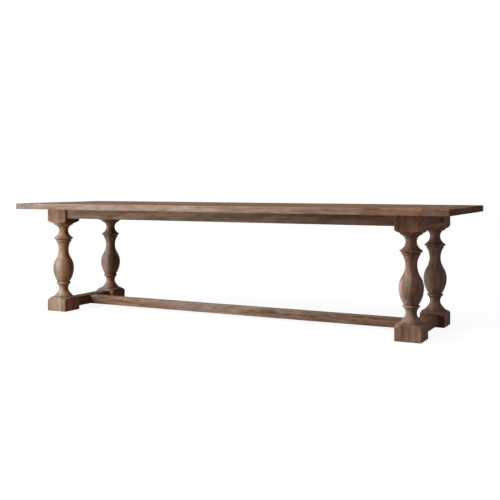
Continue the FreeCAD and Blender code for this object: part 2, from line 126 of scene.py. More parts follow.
def addNode(tree, kind, inputs=None, **settings):
    made = tree.nodes.new("ShaderNode" + kind)
    for key, value in settings.items():
        setattr(made, key, value)
    plugIn(made, inputs or {})
    return made


def calc(tree, operation, *values):
    return addNode(tree, "Math", dict(enumerate(values)), operation=operation).outputs[0]


def times(tree, first, second):
    return calc(tree, "MULTIPLY", first, second)


def vectorCalc(tree, operation, *values):
    made = addNode(tree, "VectorMath", dict(enumerate(values)), operation=operation)
    return made.outputs["Value" if operation == "LENGTH" else "Vector"]


def noise(tree, place, scale, detail=2.0, roughness=0.5, output="Fac"):
    place = vectorCalc(tree, "MULTIPLY", place, scale)
    inputs = {"Vector": place, "Scale": 1.0, "Detail": detail, "Roughness": roughness}
    return addNode(tree, "TexNoise", inputs).outputs[output]


def remap(tree, value, start, end, low=0.0, high=1.0):
    inputs = {"Value": value, "From Min": start, "From Max": end, "To Min": low, "To Max": high}
    return addNode(tree, "MapRange", inputs, interpolation_type="SMOOTHSTEP").outputs["Result"]


def blend(tree, share, first, second, mode="MIX"):
    made = addNode(tree, "Mix", {0: share, 6: first, 7: second}, data_type="RGBA", blend_type=mode)
    return made.outputs[2]


def tones(tree, value, stops):
    ramp = addNode(tree, "ValToRGB", {"Fac": value})
    elements = ramp.color_ramp.elements
    while len(elements) < len(stops):
        elements.new(0.5)
    for element, (place, colour) in zip(elements, stops):
        element.position = place
        element.color = (*colour, 1)
    return ramp.outputs["Color"]


def newMaterial(name):
    material = bpy.data.materials.new(name)
    material.use_nodes = True
    tree = material.node_tree
    return material, tree, tree.nodes["Principled BSDF"]


# Oak: rings about the pith, long streaks, fibres and pores, all along the grain

oakTones = {
    "dark": (0.175, 0.090, 0.050), "middle": (0.330, 0.190, 0.110), "light": (0.470, 0.310, 0.205),
    "olive": (0.330, 0.220, 0.120), "red": (0.290, 0.138, 0.078), "grey": (0.420, 0.318, 0.248),
    "worn": (0.560, 0.420, 0.310), "grime": (0.055, 0.028, 0.017), "knot": (0.105, 0.052, 0.030),
}
# what darkens the wood under it: tone and strength
oakShades = {
    "lateWood": ((0.45, 0.36, 0.30), 0.24),
    "fibre": ((0.62, 0.54, 0.48), 0.30),
    "pore": ((0.30, 0.24, 0.20), 0.50),
    "knotHalo": ((0.55, 0.40, 0.33), 0.40),
    "sawnEnd": ((0.62, 0.56, 0.52), 0.40),
}
# noise of each mark: scale along and across the grain, detail and roughness
oakMarks = {
    "band": ((1.4, 15, 15), 2, 0.5),
    "blotch": ((10, 34, 34), 3, 0.6),
    "streak": ((1.3, 75, 75), 4, 0.6),
    "fibre": ((13, 800, 800), 2, 0.6),
    "pore": ((30, 1500, 1500), 1, 0.5),
    "mottle": ((4, 22, 22), 3, 0.55),
    "flush": ((1.5, 18, 18), 2, 0.5),
    "bloom": ((1.1, 7, 7), 3, 0.6),
}
# patches of another tone: their mark, where in it they begin and are full, and how much they cover
oakPatches = {
    "olive": ("mottle", 0.48, 0.64, 0.45),
    "red": ("flush", 0.50, 0.68, 0.65),
    "grey": ("bloom", 0.50, 0.74, 0.50),
}
oakLook = {
    "toneStops": ((0.37, "dark"), (0.49, "middle"), (0.62, "light")),
    "sways": (((0.8, 3, 3), 0.05), ((5, 16, 16), 0.010)),  # noise scale, and width in m
    "ringsPerMetre": 190.0,
    "lateRise": (0.25, 0.9), "lateFall": (1.0, 0.93), "earlyFall": (0.45, 0.1),  # shares of a ring
    "fibreEdge": (0.35, 0.70), "poreEdge": (0.56, 0.66), "latePores": 0.25,
    "knotSlim": (0.55, 1, 1),  # how much the way along the grain counts
    "knotHalo": (0.058, 0.008),  # where it begins and is full, m from the knot
    "knotCore": (0.013, 0.007, 0.0, 0.85),
    "parting": (0, 0.7, 0.7),
    "rubEdge": (0.15, 1.0), "rubStreaks": (0.30, 0.62, 0.15, 0.85), "grimeEdge": (-0.1, -0.9, 0.0, 0.85),
    "ringHeight": 0.5, "fibreHeight": 0.6,
    "polish": (0.35, 0.65),  # from the roughest wood to the smoothest
}


# grain is a place in the log, in metres: x along it, y and z from the pith
def oakColour(tree, grain, knotAway, wear, endGrain, bleach, tint, figure):
    def mark(name, at):
        return noise(tree, at, *oakMarks[name])

    def edge(value, name):
        return remap(tree, value, *oakLook[name])

    def shaded(under, name, share):
        tone, strength = oakShades[name]
        return blend(tree, times(tree, share, strength), under, (*tone, 1), "MULTIPLY")

    away = vectorCalc(tree, "LENGTH", vectorCalc(tree, "MULTIPLY", knotAway, oakLook["knotSlim"]))
    halo, core = edge(away, "knotHalo"), edge(away, "knotCore")
    # streaks part round a knot, because its middle takes less of the sideways way
    parted = vectorCalc(tree, "MULTIPLY", knotAway, oakLook["parting"])
    place = vectorCalc(tree, "SUBTRACT", grain, vectorCalc(tree, "MULTIPLY", parted, halo))
    for scale, width in oakLook["sways"]:
        drift = vectorCalc(tree, "SUBTRACT", noise(tree, grain, scale, output="Color"), (0.5, 0.5, 0.5))
        place = vectorCalc(tree, "MULTIPLY_ADD", drift, (0, width, width), place)

    fromPith = vectorCalc(tree, "LENGTH", vectorCalc(tree, "MULTIPLY", place, (0, 1, 1)))
    ring = calc(tree, "FRACT", times(tree, fromPith, oakLook["ringsPerMetre"]))
    late = times(tree, edge(ring, "lateRise"), edge(ring, "lateFall"))
    early = edge(ring, "earlyFall")

    band, blotch, streak, fibre = (mark(name, place) for name in ("band", "blotch", "streak", "fibre"))
    pore = calc(tree, "ADD", early, oakLook["latePores"])
    pore = times(tree, edge(mark("pore", place), "poreEdge"), pore)

    # bleached wood and sawn ends show the bands faintly, and streaks and blotches stronger or weaker
    calm = calc(tree, "SUBTRACT", 1.0, bleach)
    fine = times(tree, blotch, figure["blotch"])
    fine = calc(tree, "MULTIPLY_ADD", streak, figure["streak"], fine)
    fine = calc(tree, "SUBTRACT", fine, 0.5 * (figure["streak"] + figure["blotch"]))
    strength = calc(tree, "MULTIPLY_ADD", bleach, figure["bleachGain"], 1.0)
    strength = calc(tree, "MULTIPLY_ADD", endGrain, figure["endGain"], strength)
    fine = times(tree, fine, strength)
    broad = times(tree, calc(tree, "SUBTRACT", band, 0.5), calm)
    mixed = calc(tree, "MULTIPLY_ADD", broad, figure["band"], calc(tree, "ADD", fine, 0.5))
    colour = tones(tree, mixed, [(stop, oakTones[tone]) for stop, tone in oakLook["toneStops"]])
    for tone, (name, start, full, cover) in oakPatches.items():
        patch = mark(name, grain if name == "bloom" else place)
        patch = times(tree, remap(tree, patch, start, full, 0.0, cover), calm)
        colour = blend(tree, patch, colour, (*oakTones[tone], 1))

    layers = (("lateWood", late), ("fibre", edge(fibre, "fibreEdge")), ("pore", pore), ("knotHalo", halo))
    for name, share in layers:
        colour = shaded(colour, name, share)
    colour = blend(tree, core, colour, (*oakTones["knot"], 1))
    colour = shaded(colour, "sawnEnd", endGrain)
    # rubbed edges show paler wood where the streaks let them, hollows keep dark polish
    rub = times(tree, edge(wear, "rubEdge"), edge(streak, "rubStreaks"))
    colour = blend(tree, rub, colour, (*oakTones["worn"], 1))
    colour = blend(tree, edge(wear, "grimeEdge"), colour, (*oakTones["grime"], 1))
    colour = blend(tree, 1.0, colour, tint, "MULTIPLY")

    height = calc(tree, "SUBTRACT", times(tree, late, oakLook["ringHeight"]), pore)
    height = calc(tree, "MULTIPLY_ADD", fibre, oakLook["fibreHeight"], height)
    return colour, height, mixed


def relief(tree, height, strength, depth):
    inputs = {"Height": height, "Strength": strength, "Distance": depth * mm}
    return addNode(tree, "Bump", inputs).outputs["Normal"]


# mixes the oak and gives it to a shader, with a polish that follows the figure
def dressOak(tree, shader, look, *marks):
    colour, height, mixed = oakColour(tree, *marks, look["figure"])
    plugIn(shader, {
        "Base Color": colour,
        "Roughness": remap(tree, mixed, *oakLook["polish"], *look["roughness"]),
        "Specular IOR Level": look["shine"],
        "Coat Weight": look["wax"],
        "Coat Roughness": look["waxRoughness"],
        "Normal": relief(tree, height, look["bump"], look["depth"]),
    })


# the marks that a piece's fields give, in the order that oakColour takes them
oakFields = {
    "grain": "Vector", "knotAway": "Vector",
    "wear": "Fac", "endGrain": "Fac", "bleach": "Fac", "tint": "Vector",
}


def oakMaterial(name, look):
    def field(key):
        return addNode(tree, "Attribute", attribute_name=key).outputs[oakFields[key]]

    material, tree, shader = newMaterial(name)
    dressOak(tree, shader, look, *map(field, oakFields))
    return material


topOak = oakMaterial("topOak", {
    "roughness": (0.85, 0.70), "shine": 0.0, "wax": 0.03, "waxRoughness": 0.60, "bump": 0.5, "depth": 0.4,
    "figure": {"band": 0.54, "streak": 0.26, "blotch": 0.26, "bleachGain": 0.5, "endGain": -0.8},
})
baseOak = oakMaterial("baseOak", {
    "roughness": (0.80, 0.60), "shine": 0.0, "wax": 0.16, "waxRoughness": 0.45, "bump": 0.5, "depth": 0.4,
    "figure": {"band": 0.52, "streak": 0.40, "blotch": 0.60, "bleachGain": -0.4, "endGain": -0.3},
})
print("oak mixed")


# Boards

boardLook = {
    "inset": 0.15,  # faces stand this far inside the sawn size, mm
    "waviness": 0.16,  # planing marks, mm
    "gridStep": (14.0, 9.0),  # along and across the grain, mm
    "edgeTurns": (0.0, 11.25, 22.5, 33.75, 45.0),  # degrees at the lines of a rounded edge
    "waveCell": (300.0, 50.0),  # planing marks, along and across, mm
    "fineWear": (0.6, 0.3),  # finer wear of the edges: its strength and its cell, as shares
    "leastEase": 0.25,
    "seamFrom": (0.72, 0.97),  # how far a face is turned where its shade begins and is full
    "endFrom": (0.6, 0.9), "outerFrom": (0.5, 0.9), "outerBleach": 0.65, "knotTaper": 0.25,
    "logSpacing": 3.7,  # m of log from one seed to the next
    "mapSides": 0.94,  # share of the map that the long sides take
    "mapMargin": 0.002,
}


# grid lines on one axis: close together where an edge turns, even between
def boardLines(half, eases, step):
    turns = np.tan(np.radians(boardLook["edgeTurns"]))
    low, high = (half - ease + ease * turns for ease in eases)
    flatLow, flatHigh = 2 * eases[0] - half, half - 2 * eases[1]
    middle = np.linspace(flatLow, flatHigh, max(2, round((flatHigh - flatLow) / step) + 1))
    return np.concatenate([-low[::-1], middle, high])


# the six sides of a box as one list of points, cells and map places; u runs along the grain,
# the four long sides lie side by side in v, and the ends share a last strip
def boxSides(lines, along):
    points, cells, flat = [], [], []
    sizes = [line[-1] - line[0] for line in lines]
    others = [axis for axis in range(3) if axis != along]
    mapSides, margin = boardLook["mapSides"], boardLook["mapMargin"]
    stripTotal = 2 * sum(sizes[axis] for axis in others) / mapSides
    strip, started = 0.0, 0
    for axis in others + [along]:
        first, second = (axis + 1) % 3, (axis + 2) % 3
        for side in (-1, 1):
            a, b = np.meshgrid(lines[first], lines[second], indexing="ij")
            grid = np.empty(a.shape + (3,))
            grid[..., first], grid[..., second] = a, b
            grid[..., axis] = lines[axis][0 if side < 0 else -1]
            cell = gridCells(*a.shape) + started
            cells.append(cell if side > 0 else cell[:, ::-1])
            unit = [(grid[..., i] - lines[i][0]) / sizes[i] for i in range(3)]
            if axis == along:
                u = (unit[others[0]] + (side + 1) / 2) / 2
                v = mapSides + (1 - mapSides) * unit[others[1]]
            else:
                wide = sizes[sum(others) - axis] / stripTotal
                u, v = unit[along], strip + wide * unit[sum(others) - axis]
                strip += wide
            flat.append(np.stack([u, v], -1).reshape(-1, 2) * (1 - 2 * margin) + margin)
            points.append(grid.reshape(-1, 3))
            started += a.size
    return [np.concatenate(rows) for rows in (points, cells, flat)]


# places in the log: the board's own place, set off from the pith and leaning a little along it
def logPlaces(local, along, log, shift):
    across, through = [axis for axis in range(3) if axis != along]
    way = local[:, along]
    return np.stack([
        way + shift,
        local[:, across] - log["pith"][0] + log["lean"][0] * way,
        local[:, through] - log["pith"][1] + log["lean"][1] * way,
    ], 1)


# offset from the nearest knot, without its sign along the board, which would pass nought between two
# knots; a knot has a place, the axis of its branch and a depth in m: a deep one never comes to the
# surface and only turns the grain
def knotOffsets(local, along, knots):
    nearest = np.full((len(local), 3), farAway)
    for place, branch, deep in knots:
        away = local - np.array(place)
        third = 3 - along - branch
        depth = boardLook["knotTaper"] * np.abs(away[:, branch]) + deep
        turned = np.stack([np.abs(away[:, along]), away[:, third], depth], 1)
        closer = np.linalg.norm(turned, axis=1) < np.linalg.norm(nearest, axis=1)
        nearest[closer] = turned[closer]
    return nearest


# tint drifts along a board through evenly spaced stops, and takes otherwise on outer edges, upper
# faces and sawn ends; the drifts on the top and the rails are painted light, lighter where the lamps
# fall and darker away from them, and the upper faces get painted shade
def boardTint(look, share, outer, end, upper):
    def drifted(stops):
        places = np.linspace(0, 1, len(stops))
        return np.stack([np.interp(share, places, channel) for channel in np.transpose(stops)], 1)

    tint = drifted(look["tint"])
    tint += (drifted(look.get("edgeTint", look["tint"])) - tint) * outer[:, None]
    for key, within in (("upperShade", upper), ("endTint", end)):
        tint *= 1 + (np.array(look.get(key, (1, 1, 1))) - 1) * within[:, None]
    return tint


# a board: each point of a box is drawn in to a core box and pushed out again by the easing,
# which rounds the edges; easing and faces wander a little, as hand work and wear leave them
def board(node, low, high, along, look, seed, knots=()):
    centre, half = (low + high) / 2, (high - low) / 2 - boardLook["inset"] * mm
    across, through = [axis for axis in range(3) if axis != along]
    eases = {along: (look["endEase"],) * 2, across: look["sideEase"], through: (max(look["sideEase"]),) * 2}
    steps = [boardLook["gridStep"][axis != along] * mm for axis in range(3)]
    lines = [boardLines(half[i], [e * mm for e in eases[i]], steps[i]) for i in range(3)]
    raw, cells, flat = boxSides(lines, along)
    keep, joined = np.unique(np.round(raw, 7), axis=0, return_index=True, return_inverse=True)[1:]
    local = raw[keep]

    place = local + centre
    wearCell, (fineShare, fineCell) = look["wearCell"] * mm, boardLook["fineWear"]
    uneven = 1 + look["edgeWear"] * softNoise(place, wearCell, seed)
    uneven += fineShare * look["edgeWear"] * softNoise(place, fineCell * wearCell, seed + 1)
    uneven = np.maximum(uneven, boardLook["leastEase"])
    lowSide = local[:, across] < 0
    reach = np.empty_like(local)
    reach[:, along] = look["endEase"] * mm * uneven
    reach[:, across] = reach[:, through] = np.where(lowSide, *look["sideEase"]) * mm * uneven
    core = np.clip(local, reach - half, half - reach)
    out = (local - core) / reach
    out /= np.linalg.norm(out, axis=1, keepdims=True)
    waveCell = [boardLook["waveCell"][axis != along] * mm for axis in range(3)]
    wave = boardLook["waviness"] * mm * softNoise(place, waveCell, seed + 2)
    shaped = centre + core + (reach + wave[:, None]) * out

    edge = shareOf(-np.abs(out).max(1), -1, -math.sqrt(0.5))
    end = shareOf(np.abs(out[:, along]), *boardLook["endFrom"])
    upper = shareOf(out[:, through], *boardLook["endFrom"])
    sideways = np.abs(out[:, across])
    seam = shareOf(sideways, *boardLook["seamFrom"]) * np.where(lowSide, *look["sideSeam"])
    outer = shareOf(sideways, *boardLook["outerFrom"]) * np.where(lowSide, *look["outerSides"])
    fields = {
        "grain": logPlaces(local, along, look["log"], boardLook["logSpacing"] * seed),
        "knotAway": knotOffsets(local, along, knots),
        "wear": edge * np.where(lowSide, *look["sideWear"]) - seam - end * look["endSeam"],
        "endGrain": end,
        "bleach": np.maximum(sawnBleach * end, boardLook["outerBleach"] * outer),
        "tint": boardTint(look, 0.5 + 0.5 * local[:, along] / half[along], outer, end, upper),
    }
    faces = joined.ravel()[cells].tolist()
    addPiece(node + "_board", shaped, faces, flat[cells], fields, look["oak"], [node])


logLook = {
    "pithAcross": (-0.5, 0.5),  # shares of the board's width
    "pithDepth": (0.05, 0.16),  # m
    "lean": (-0.03, 0.03), "shade": (0.90, 1.10), "warmth": (-0.04, 0.04),
}


# each board is sawn from its own log: where its pith lies, how it leans and how dark it is
def ownLog(draw, width, tintDrift=((1, 1, 1), (1, 1, 1))):
    pith = (draw.uniform(*logLook["pithAcross"]) * width, -draw.uniform(*logLook["pithDepth"]))
    lean = draw.uniform(*logLook["lean"], 2)
    shade = draw.uniform(*logLook["shade"])
    warm = draw.uniform(*logLook["warmth"])
    return {"log": {"pith": pith, "lean": lean}, "tint": np.array(tintDrift) * shade * (1 + warm, 1, 1 - warm)}


# Top: six planks between two breadboards

topLook = {
    "seamEase": 2.1,  # mm, at the joints
    "outerEase": 3.0,  # mm, on the outer edges
    "endEase": 0.6, "breadboardEndEase": 2.4, "breadboardSeamEase": 1.0,
    "seamWear": 0.3, "breadboardSeamWear": 0.2,  # how rubbed the edges at the joints are
    # painted light: plank faces, outer edges and the breadboards' sawn ends are tinted along their length
    # to how lit they look, paler and greyer where the lamps fall
    "faceTint": [(0.95, 1.04, 1.16), (0.92, 1.00, 1.08), (0.93, 0.92, 0.94)],  # along the planks
    "edgeTint": [
        (1.08, 1.34, 1.88), (1.22, 1.46, 1.95), (1.57, 1.80, 2.28), (1.36, 1.50, 1.84), (1.16, 1.06, 1.13),
    ],
    "sawnTints": [(1.15, 1.50, 2.10), (1.30, 1.45, 1.50)],
    "breadboardTints": [(1.00, 1.05, 1.15), (0.92, 0.84, 0.90)],
    "seed": 11, "plankSeeds": (221, 22, 23, 24, 25, 26), "breadboardSeeds": (30, 31),
}
topWood = {"oak": topOak, "slot": "top_oak", "edgeWear": 0.45, "wearCell": 70}
draw = np.random.default_rng(topLook["seed"])
seamX = nodeSpan("breadboard_right")[0][0]
plankKnots = {
    1: [((1.08, -0.0785, 0.002), 1, 0.018), ((-0.62, 0.03, 0.02), 2, 0)],
    3: [((0.35, 0.02, 0.02), 2, 0), ((-0.98, -0.04, 0.02), 2, 0)],
    4: [((-0.21, -0.03, 0.02), 2, 0)],
    6: [((0.80, 0.01, 0.02), 2, 0), ((-0.45, 0.0828, 0.0), 1, 0)],
}


# how the two long sides of a board are eased, rubbed and darkened, at outer edges and at joints
def topSides(outer, joint):
    return {
        "sideEase": [topLook["outerEase" if side else joint + "Ease"] for side in outer],
        "sideWear": [1.0 if side else topLook[joint + "Wear"] for side in outer],
        "sideSeam": [0.0 if side else 1.0 for side in outer],
    }


for number, seed in enumerate(topLook["plankSeeds"], 1):
    node = f"top_plank_{number}"
    low, high = nodeSpan(node)
    low[0], high[0] = -seamX, seamX
    outer = (number == 1, number == len(topLook["plankSeeds"]))
    look = {
        **topWood,
        **ownLog(draw, high[1] - low[1], topLook["faceTint"]),
        **topSides(outer, "seam"),
        "endEase": topLook["endEase"],
        "endSeam": 1.0,
        "outerSides": outer,
        "edgeTint": topLook["edgeTint"],
    }
    board(node, low, high, 0, look, seed, plankKnots.get(number, ()))
for number, side in enumerate(("left", "right")):
    node = "breadboard_" + side
    low, high = nodeSpan(node)
    look = {
        **topWood,
        **ownLog(draw, high[0] - low[0], [topLook["breadboardTints"][number]] * 2),
        **topSides((side == "left", side == "right"), "breadboardSeam"),
        "endEase": topLook["breadboardEndEase"],
        "endSeam": 0.0,
        "outerSides": (False, False),
        "endTint": topLook["sawnTints"][number],
    }
    board(node, low, high, 1, look, topLook["breadboardSeeds"][number])
print("top boards sawn")


# Aprons and stretchers, between the faces that they meet

railLook = {"apronEase": 2.0, "stretcherEase": 3.4, "endEase": 0.5, "logWidth": 0.09, "seed": 23}
railWood = {
    "oak": baseOak, "slot": "base_oak", "edgeWear": 0.5, "wearCell": 60, "endEase": railLook["endEase"],
    "sideWear": (0.9, 0.9), "sideSeam": (0.0, 0.0), "endSeam": 0.0, "outerSides": (False, False),
}
draw = np.random.default_rng(railLook["seed"])
legInnerX = nodeSpan("leg_front_right")[0][0]
legInnerY = nodeSpan("leg_back_right")[0][1]
stretcherInnerX = nodeSpan("end_stretcher_right")[0][0]
# the axis that a rail runs along, its reach and its seed
rails = {
    "apron_front": (0, legInnerX, 40), "apron_back": (0, legInnerX, 41),
    "apron_left": (1, legInnerY, 42), "apron_right": (1, legInnerY, 43),
    "end_stretcher_left": (1, legInnerY, 44), "end_stretcher_right": (1, legInnerY, 45),
    "long_stretcher": (0, stretcherInnerX, 246),
}
railKnots = {
    "long_stretcher": [
        ((0.24, -0.034, 0.006), 1, 0.009), ((0.64, -0.034, -0.012), 1, 0.010), ((-0.55, 0.01, 0.029), 2, 0),
    ],
    "apron_back": [((0.42, 0.016, 0.004), 1, 0)],
}
# painted light: the long stretcher and front apron drift from lighter at the lamps' end to darker at the
# right, the long stretcher's left end is lifted out of the end stretcher's shadow, and the end stretchers
# and right apron get painted shade
railTints = {
    "long_stretcher": [
        (1.88, 1.76, 1.80), (1.24, 1.54, 1.89), (1.36, 1.51, 1.77), (1.00, 1.02, 1.10), (1.14, 1.08, 1.10),
    ],
    "apron_front": [(1.12, 1.24, 1.42), (1.20, 1.22, 1.34), (0.96, 0.96, 1.06)],
    "end_stretcher_left": [(0.78, 0.55, 0.54), (1.00, 0.84, 0.82)],
    "end_stretcher_right": [(0.82, 0.64, 0.68)] * 2,
    "apron_right": [(0.89, 0.59, 0.55)] * 2,
}
# painted shade on the upper face of the left end stretcher
upperShades = {"end_stretcher_left": (0.71, 0.84, 1.02)}
for node, (along, reach, seed) in rails.items():
    ease = railLook["apronEase" if node.startswith("apron") else "stretcherEase"]
    low, high = nodeSpan(node)
    low[along], high[along] = -reach, reach
    look = {**railWood, **ownLog(draw, railLook["logWidth"]), "sideEase": (ease, ease)}
    look["tint"] = railTints.get(node, look["tint"])
    look["upperShade"] = upperShades.get(node, (1, 1, 1))
    board(node, low, high, along, look, seed, railKnots.get(node, ()))
print("aprons and stretchers sawn")


# Turned legs

legLook = {
    "plinthHeight": 98.5, "blockHeight": 105.5,  # mm
    "plinthFall": 24.5,  # from the collar to the plinth's corners
    "plinthCrown": 5.5, "blockFall": 20.0, "blockCrown": 1.0,
    "collarShare": 0.83,  # of half the blank
    "arris": 3.2, "arrisWear": 0.6,
    "rimEase": 1.8,  # rounding along the arched rims of plinth and block
    "rimRun": 1.4,  # how many times that far it runs in from the side
    "plinthEase": 2.5, "blockEase": 0.5,
    "shoulderLap": 4.0,  # a square end's grid stops this far outside the collar
    "softening": 0.8,  # how far the lathe's corners are rubbed down
    "proudWear": 0.32, "dents": 0.22,
}
wearLook = {
    "cornerBand": 7.0,  # mm
    "cornerTop": 2.0,  # above the rim
    "cornerRub": (0.65, 0.9),  # its mean, and how far it comes and goes
    "rimBand": 6.0, "rimRub": (0.25, 1.2),
    "patches": (0.028, 0.009, 0.6),  # broad and fine cells, m, and the share of the fine
    "dents": ((0.03, 0.03, 0.06), 0.011, 0.5),
    "dentFrom": (0.2, 1.2),  # share of half the blank where dents begin and are full
    "endGrainFrom": (0.55, 1.0),
}
legGrid = {
    "capShares": (0.3, 0.6, 0.85), "edgeRows": 6, "sideRows": 18, "rimRows": 7, "shoulderRows": 10,
    "spacing": 0.4,  # mm along the lathe's line before rows are chosen
    "evenRows": 150, "bendRows": 2.2,  # rows for each metre, and more where it bends
    "hollowWidth": 2.4, "hollowGain": 5.0, "mapMargin": 0.01,
}
legLog = {"pith": (0.05, 0.09), "lean": (-0.04, 0.04), "spacing": 5.3}  # pith and spacing in m
# share of the turned height, then share of half the blank, from the bottom up
turningShares = {
    "beadFoot": (0.0, 0.740), "beadCrown": (0.0092, 0.806), "beadTop": (0.0184, 0.740),
    "flareFillet": (0.0184, 0.724), "flareFoot": (0.0233, 0.720), "flareBend": (0.0649, 0.509),
    "ankle": (0.1114, 0.409), "scotiaTop": (0.1735, 0.557), "astragalFoot": (0.1735, 0.576),
    "astragalCrown": (0.1871, 0.633), "astragalTop": (0.2007, 0.576), "quirkFoot": (0.2007, 0.522),
    "quirkTop": (0.2095, 0.522), "bellyFoot": (0.2095, 0.552), "belly": (0.3924, 0.915),
    "waist": (0.6444, 0.438), "lip": (0.7587, 0.639), "filletFoot": (0.7587, 0.684),
    "filletTop": (0.7742, 0.684), "ringQuirkFoot": (0.7742, 0.652), "ringQuirkTop": (0.781, 0.652),
    "ringFoot": (0.781, 0.709), "ringLow": (0.7946, 0.812), "ringCrown": (0.803, 0.838),
    "ringHigh": (0.8114, 0.812), "cavettoFoot": (0.8114, 0.757), "cavettoBend": (0.843, 0.545),
    "neck": (0.9079, 0.404), "coveTop": (0.984, 0.778), "collarFillet": (0.984, 0.810),
    "collar": (1.0, 0.810),
}
arcSteps = np.linspace(0, 1, 41)[:, None]


# arc that runs upright at one end: its centre is level with that end
def uprightArc(upright, other):
    run = other - upright
    radius = run @ run / (2 * run[0])
    sweep = math.acos(1 - run[0] / radius) * arcSteps[:, 0]
    rise = math.copysign(radius, run[1]) * np.sin(sweep)
    return upright + np.stack([radius * (1 - np.cos(sweep)), rise], 1)


# arc over a level pair of points and the crown between them
def crownArc(first, crown, last):
    rise, halfChord = crown[0] - first[0], (last[1] - first[1]) / 2
    radius = (halfChord ** 2 + rise ** 2) / (2 * rise)
    sweep = math.acos(1 - rise / radius) * (2 * arcSteps[:, 0] - 1)
    return np.stack([crown[0] - radius * (1 - np.cos(sweep)), crown[1] + radius * np.sin(sweep)], 1)


# arc that stands off its chord by a rise, on the right of the way it runs
def risenArc(first, last, rise):
    chord = last - first
    half = np.hypot(*chord) / 2
    radius = (half ** 2 + rise ** 2) / (2 * rise)
    off = np.sqrt(radius ** 2 - ((2 * arcSteps - 1) * half) ** 2) - (radius - rise)
    return first + chord * arcSteps + off * np.array([chord[1], -chord[0]]) / (2 * half)


# the lathe's line from the plinth's last row to the block's first, as radius and height
def lathePath(half, bottom, top, foot, head):
    collar = legLook["collarShare"] * half
    at = {key: np.array([radius * half, bottom + height * (top - bottom)])
          for key, (height, radius) in turningShares.items()}
    at["swell"] = (at["belly"] + at["waist"]) / 2

    def points(keys):
        return np.stack([at[key] for key in keys.split()])

    return np.concatenate([
        [foot, (collar, bottom)],
        crownArc(*points("beadFoot beadCrown beadTop")),
        points("flareFillet flareFoot"),
        uprightArc(*points("ankle flareBend"))[::-1],
        uprightArc(*points("ankle scotiaTop")),
        crownArc(*points("astragalFoot astragalCrown astragalTop")),
        points("quirkFoot quirkTop bellyFoot"),
        uprightArc(*points("belly bellyFoot"))[::-1],
        uprightArc(*points("belly swell")),
        uprightArc(*points("waist swell"))[::-1],
        uprightArc(*points("waist lip")),
        points("lip filletFoot filletTop ringQuirkFoot ringQuirkTop ringFoot ringLow"),
        crownArc(*points("ringLow ringCrown ringHigh")),
        points("cavettoFoot"),
        uprightArc(*points("neck cavettoBend"))[::-1],
        uprightArc(*points("neck coveTop")),
        points("coveTop collarFillet collar"),
        [(collar, top), head],
    ])


# a line averaged with its neighbours under a bell curve of the given width
def rubbed(line, width, spacing):
    reach = math.ceil(3 * width / spacing)
    bell = np.exp(-0.5 * (np.arange(-reach, reach + 1) * spacing / width) ** 2)
    padded = np.pad(line, reach, mode="reflect", reflect_type="odd")
    return np.convolve(padded, bell / bell.sum(), "valid")


# rows for the lathe's line: corners softened, rows crowding where it bends; also how far each row
# stands out (positive) or lies in a hollow (negative)
def latheRows(path):
    spacing = legGrid["spacing"] * mm
    steps = np.hypot(*np.diff(path, axis=0).T)
    path = path[np.concatenate([[True], steps > 1e-7])]
    way = np.concatenate([[0], np.cumsum(np.hypot(*np.diff(path, axis=0).T))])
    even = np.arange(0, way[-1], spacing)
    line = np.stack([np.interp(even, way, column) for column in path.T])

    def softened(width):
        return [rubbed(column, width * mm, spacing) for column in line]

    def bend(width):
        dr, dz = (np.gradient(column, spacing) for column in softened(width))
        return dr * np.gradient(dz, spacing) - dz * np.gradient(dr, spacing)

    crowd = np.cumsum(legGrid["evenRows"] + legGrid["bendRows"] * np.abs(bend(legLook["softening"])))
    wanted = np.linspace(crowd[0], crowd[-1], round(crowd[-1] * spacing))
    chosen = np.interp(wanted, crowd, np.arange(len(even)))
    proud = np.clip(bend(legGrid["hollowWidth"]) * legGrid["hollowGain"] * mm, -1, legLook["proudWear"])
    columns = [*softened(legLook["softening"]), proud]
    return [np.interp(chosen, np.arange(len(even)), column) for column in columns]


# directions round a leg, in degrees, close together at the corners of the square
nearCorner = np.array([42.8, 43.4, 43.9, 44.3, 44.65])
quarter = np.concatenate([[-45], -nearCorner[::-1], np.linspace(-42, 42, 22), nearCorner])
turns = np.radians(np.concatenate([quarter + 90 * k for k in range(4)]))
fromFace = np.abs((turns + np.pi / 4) % (np.pi / 2) - np.pi / 4)  # angle off the nearest side's middle


# distance from the axis to the side of a square with rounded corners, in each direction
def squareReach(half, arris):
    core = half - arris
    middle = core * (np.cos(fromFace) + np.sin(fromFace))
    off = core * (np.cos(fromFace) - np.sin(fromFace))
    corner = middle + np.sqrt(np.maximum(arris ** 2 - off ** 2, 0))
    return np.where(half * np.tan(fromFace) > core, corner, half / np.cos(fromFace))


